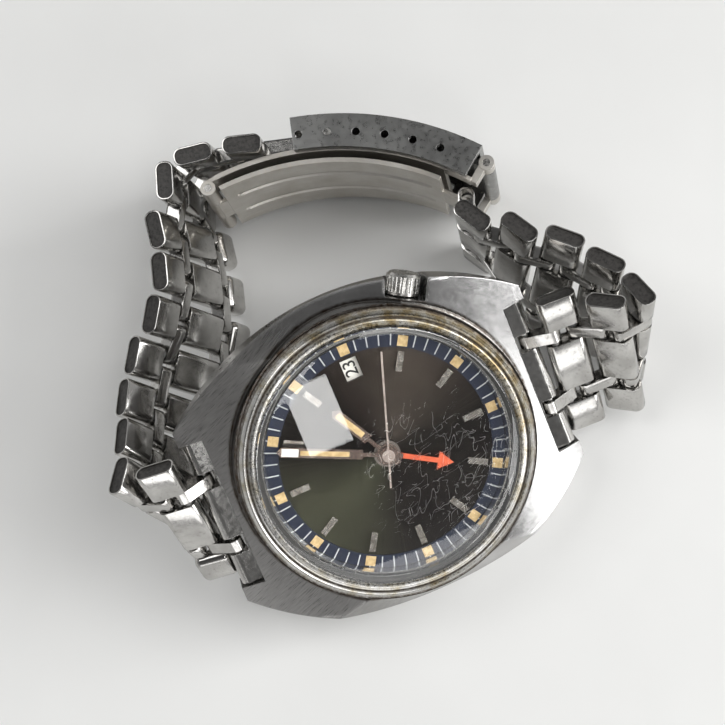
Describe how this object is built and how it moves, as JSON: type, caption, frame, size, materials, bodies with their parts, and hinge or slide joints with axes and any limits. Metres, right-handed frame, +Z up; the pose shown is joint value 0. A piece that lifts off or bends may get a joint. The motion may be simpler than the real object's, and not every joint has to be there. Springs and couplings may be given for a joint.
{
  "type": "wristwatch",
  "caption": "Automatic steel wristwatch lying on its side: barrel-shaped case, domed crystal, date, extra day hand, crown beside three o'clock, link bracelet and fold-over clasp.",
  "frame": {"origin": "on the table, under the middle of the box around the lying watch", "axes": "+Z up from the table; +X to the right and +Y away in the picture, which looks down on the watch"},
  "size_m": [0.0652, 0.0608, 0.0278],
  "materials": {
    "steel_case": "brushed and polished steel",
    "steel_ring": "turned steel with worn plating",
    "steel_link": "worn polished steel",
    "steel_leaf": "satin sheet steel",
    "steel_back": "polished steel",
    "steel_small": "turned steel",
    "bright": "mirror-bright ring",
    "acrylic": "clear domed acrylic, scratched",
    "seal": "black rubber seal",
    "dial_dark": "charcoal sunburst lacquer",
    "ring_navy": "navy lacquer with white ticks",
    "lume": "aged cream luminous paint",
    "hand_steel": "polished steel with luminous paint",
    "hand_white": "pale lacquer",
    "hand_orange": "orange-red lacquer",
    "date_white": "white lacquer with dark numerals",
    "plate": "rhodium-plated brass",
    "brass_wheel": "gilt brass",
    "rotor_m": "heavy steel alloy",
    "white_ring": "white plastic ring"
  },
  "bodies": {
    "case": {"case_body": "steel_case", "crystal_ring": "steel_ring", "crystal": "acrylic", "crystal_gasket": "seal", "bright_ring": "bright", "case_back": "steel_back", "case_back_gasket": "seal", "crown_tube": "steel_small", "crown_gasket": "seal", "dial": "dial_dark", "minute_ring": "ring_navy", "lume_plots": "lume", "hour_markers": "hand_steel", "movement_ring": "white_ring", "main_plate": "plate", "train_bridge": "plate", "balance_cock": "plate", "rotor_bearing": "steel_small", "bridge_screws": "steel_small", "end_links": "steel_link", "lug_spring_bars": "steel_small"},
    "stem": {"stem": "steel_small"},
    "crown": {"crown": "steel_case"},
    "minute_train": {"minute_hand": "hand_steel", "centre_wheel": "brass_wheel"},
    "hour_hand": {"hour_hand": "hand_steel"},
    "day_hand": {"day_hand": "hand_orange"},
    "second_train": {"second_hand": "hand_white", "fourth_wheel": "brass_wheel"},
    "date_disc": {"date_disc": "date_white"},
    "third_wheel": {"third_wheel": "brass_wheel"},
    "escape_wheel": {"escape_wheel": "steel_small"},
    "barrel": {"barrel": "brass_wheel"},
    "pallet_fork": {"pallet_fork": "steel_small"},
    "balance": {"balance_wheel": "brass_wheel", "hairspring": "steel_small"},
    "rotor": {"rotor": "rotor_m"},
    "row_a1": {"link_a1": "steel_link"},
    "row_a2": {"link_a2": "steel_link"},
    "row_a3": {"link_a3": "steel_link"},
    "row_a4": {"link_a4": "steel_link"},
    "row_a5": {"link_a5": "steel_link"},
    "row_a6": {"link_a6": "steel_link"},
    "row_a7": {"link_a7": "steel_link"},
    "row_a8": {"link_a8": "steel_link"},
    "row_a9": {"link_a9": "steel_link"},
    "row_a10": {"link_a10": "steel_link"},
    "row_a11": {"link_a11": "steel_link"},
    "row_b1": {"link_b1": "steel_link"},
    "row_b2": {"link_b2": "steel_link"},
    "row_b3": {"link_b3": "steel_link"},
    "row_b4": {"link_b4": "steel_link"},
    "row_b5": {"link_b5": "steel_link"},
    "row_b6": {"link_b6": "steel_link"},
    "row_b7": {"link_b7": "steel_link"},
    "clasp_cover": {"clasp_cover": "steel_link", "clasp_bars": "steel_small"},
    "upper_leaf": {"upper_leaf": "steel_leaf"},
    "lower_leaf": {"lower_leaf": "steel_leaf", "leaf_pin": "steel_small"}
  },
  "joints": [
    {"name": "crown_pull", "type": "slide", "parent": "case", "child": "stem", "axis": [0.174, 0.9101, 0.376], "range_m": [0, 0.0012]},
    {"name": "crown_turn", "type": "hinge", "parent": "stem", "child": "crown", "pos_m": [0.00326, 0.00813, 0.02231], "axis": [0.174, 0.9101, 0.376], "continuous": true},
    {"name": "minute_turn", "type": "hinge", "parent": "case", "child": "minute_train", "pos_m": [0.00055, -0.01123, 0.01722], "axis": [-0.2747, 0.4115, -0.869], "continuous": true},
    {"name": "hour_turn", "type": "hinge", "parent": "case", "child": "hour_hand", "pos_m": [0.0008, -0.0116, 0.018], "axis": [-0.2747, 0.4115, -0.869], "continuous": true},
    {"name": "day_turn", "type": "hinge", "parent": "case", "child": "day_hand", "pos_m": [0.00071, -0.01148, 0.01774], "axis": [-0.2747, 0.4115, -0.869], "continuous": true},
    {"name": "second_turn", "type": "hinge", "parent": "case", "child": "second_train", "pos_m": [0.00082, -0.01164, 0.01809], "axis": [-0.2747, 0.4115, -0.869], "continuous": true},
    {"name": "date_turn", "type": "hinge", "parent": "case", "child": "date_disc", "pos_m": [0.00039, -0.01098, 0.0167], "axis": [-0.2747, 0.4115, -0.869], "continuous": true},
    {"name": "third_turn", "type": "hinge", "parent": "case", "child": "third_wheel", "pos_m": [-0.00023, -0.01383, 0.01163], "axis": [-0.2747, 0.4115, -0.869], "continuous": true},
    {"name": "escape_turn", "type": "hinge", "parent": "case", "child": "escape_wheel", "pos_m": [0.00356, -0.01093, 0.01181], "axis": [-0.2747, 0.4115, -0.869], "continuous": true},
    {"name": "barrel_turn", "type": "hinge", "parent": "case", "child": "barrel", "pos_m": [-0.00584, -0.00904, 0.01567], "axis": [-0.2747, 0.4115, -0.869], "continuous": true},
    {"name": "fork_rock", "type": "hinge", "parent": "case", "child": "pallet_fork", "pos_m": [0.00688, -0.011, 0.01072], "axis": [-0.2747, 0.4115, -0.869], "range_deg": [-5, 5]},
    {"name": "balance_swing", "type": "hinge", "parent": "case", "child": "balance", "pos_m": [0.00683, -0.00578, 0.01321], "axis": [-0.2747, 0.4115, -0.869], "range_deg": [-135, 135]},
    {"name": "rotor_turn", "type": "hinge", "parent": "case", "child": "rotor", "pos_m": [-0.00132, -0.00843, 0.01131], "axis": [-0.2747, 0.4115, -0.869], "continuous": true},
    {"name": "a1_fold", "type": "hinge", "parent": "case", "child": "row_a1", "pos_m": [-0.02224, -0.01881, 0.01548], "axis": [-0.2901, 0.5782, 0.7625], "range_deg": [0, 37]},
    {"name": "a2_fold", "type": "hinge", "parent": "row_a1", "child": "row_a2", "pos_m": [-0.02636, -0.01795, 0.01335], "axis": [-0.5109, 0.2876, 0.8101], "range_deg": [0, 131]},
    {"name": "a3_fold", "type": "hinge", "parent": "row_a2", "child": "row_a3", "pos_m": [-0.02567, -0.01241, 0.01192], "axis": [-0.5877, 0.2304, 0.7756], "range_deg": [0, 15]},
    {"name": "a4_fold", "type": "hinge", "parent": "row_a3", "child": "row_a4", "pos_m": [-0.02561, -0.00683, 0.01042], "axis": [-0.6438, 0.1705, 0.746], "range_deg": [0, 24]},
    {"name": "a5_fold", "type": "hinge", "parent": "row_a4", "child": "row_a5", "pos_m": [-0.02517, -0.00114, 0.00961], "axis": [-0.5948, 0.1177, 0.7952], "range_deg": [0, 29]},
    {"name": "a6_fold", "type": "hinge", "parent": "row_a5", "child": "row_a6", "pos_m": [-0.02426, 0.00445, 0.00957], "axis": [-0.4271, 0.0367, 0.9035], "range_deg": [0, 20]},
    {"name": "a7_fold", "type": "hinge", "parent": "row_a6", "child": "row_a7", "pos_m": [-0.02374, 0.01017, 0.00967], "axis": [-0.3318, -0.0184, 0.9432], "range_deg": [0, 10]},
    {"name": "a8_fold", "type": "hinge", "parent": "row_a7", "child": "row_a8", "pos_m": [-0.0246, 0.01589, 0.00957], "axis": [-0.2899, -0.0639, 0.9549], "range_deg": [0, 18]},
    {"name": "a9_fold", "type": "hinge", "parent": "row_a8", "child": "row_a9", "pos_m": [-0.02571, 0.02141, 0.00957], "axis": [-0.073, -0.0118, 0.9973], "range_deg": [0, 40]},
    {"name": "a10_fold", "type": "hinge", "parent": "row_a9", "child": "row_a10", "pos_m": [-0.02398, 0.02651, 0.00984], "axis": [-0.0283, -0.1115, 0.9934], "range_deg": [0, 80]},
    {"name": "a11_fold", "type": "hinge", "parent": "row_a10", "child": "row_a11", "pos_m": [-0.01827, 0.02743, 0.01004], "axis": [0.0127, -0.0885, 0.996], "range_deg": [0, 25]},
    {"name": "b1_fold", "type": "hinge", "parent": "case", "child": "row_b1", "pos_m": [0.02109, -0.00007, 0.01118], "axis": [0.1595, -0.6713, -0.7238], "range_deg": [-10, 8]},
    {"name": "b2_fold", "type": "hinge", "parent": "row_b1", "child": "row_b2", "pos_m": [0.0265, 0.00121, 0.01108], "axis": [0.0977, -0.4958, -0.8629], "range_deg": [-3, 3]},
    {"name": "b3_fold", "type": "hinge", "parent": "row_b2", "child": "row_b3", "pos_m": [0.03062, 0.00299, 0.01061], "axis": [-0.0917, -0.3259, -0.9409], "range_deg": [0, 2]},
    {"name": "b4_fold", "type": "hinge", "parent": "row_b3", "child": "row_b4", "pos_m": [0.02656, 0.00695, 0.00969], "axis": [-0.1622, -0.3531, -0.9214], "range_deg": [0, 2]},
    {"name": "b5_fold", "type": "hinge", "parent": "row_b4", "child": "row_b5", "pos_m": [0.02139, 0.0095, 0.00966], "axis": [-0.214, -0.4245, -0.8798], "range_deg": [0, 3]},
    {"name": "b6_fold", "type": "hinge", "parent": "row_b5", "child": "row_b6", "pos_m": [0.01632, 0.01202, 0.00975], "axis": [-0.1622, -0.2502, -0.9545], "range_deg": [0, 8]},
    {"name": "b7_fold", "type": "hinge", "parent": "row_b6", "child": "row_b7", "pos_m": [0.01197, 0.01555, 0.00962], "axis": [-0.0322, -0.0356, -0.9988], "range_deg": [-30, 60]},
    {"name": "cover_swing", "type": "hinge", "parent": "row_a11", "child": "clasp_cover", "pos_m": [-0.00669, 0.028, 0.00986], "axis": [0.0257, 0.0167, 0.9995], "range_deg": [-1, 1]},
    {"name": "clasp_open", "type": "hinge", "parent": "clasp_cover", "child": "upper_leaf", "pos_m": [0.01267, 0.02369, 0.00944], "axis": [0.0257, 0.0167, 0.9995], "range_deg": [0, 80]},
    {"name": "leaf_fold", "type": "hinge", "parent": "upper_leaf", "child": "lower_leaf", "pos_m": [-0.02153, 0.02161, 0.01035], "axis": [-0.0257, -0.0167, -0.9995], "range_deg": [0, 80]}
  ],
  "couplings": [
    {"joint": "hour_turn", "follows": "minute_turn", "ratio": 0.083333},
    {"joint": "day_turn", "follows": "minute_turn", "ratio": 0.041667},
    {"joint": "second_turn", "follows": "minute_turn", "ratio": 60},
    {"joint": "date_turn", "follows": "minute_turn", "ratio": 0.0013441},
    {"joint": "third_turn", "follows": "minute_turn", "ratio": -7.5},
    {"joint": "escape_turn", "follows": "minute_turn", "ratio": -600},
    {"joint": "barrel_turn", "follows": "minute_turn", "ratio": -0.13889},
    {"joint": "a10_fold", "follows": "clasp_open", "ratio": 1},
    {"joint": "a9_fold", "follows": "clasp_open", "ratio": 0.5},
    {"joint": "leaf_fold", "follows": "clasp_open", "ratio": 1}
  ]
}
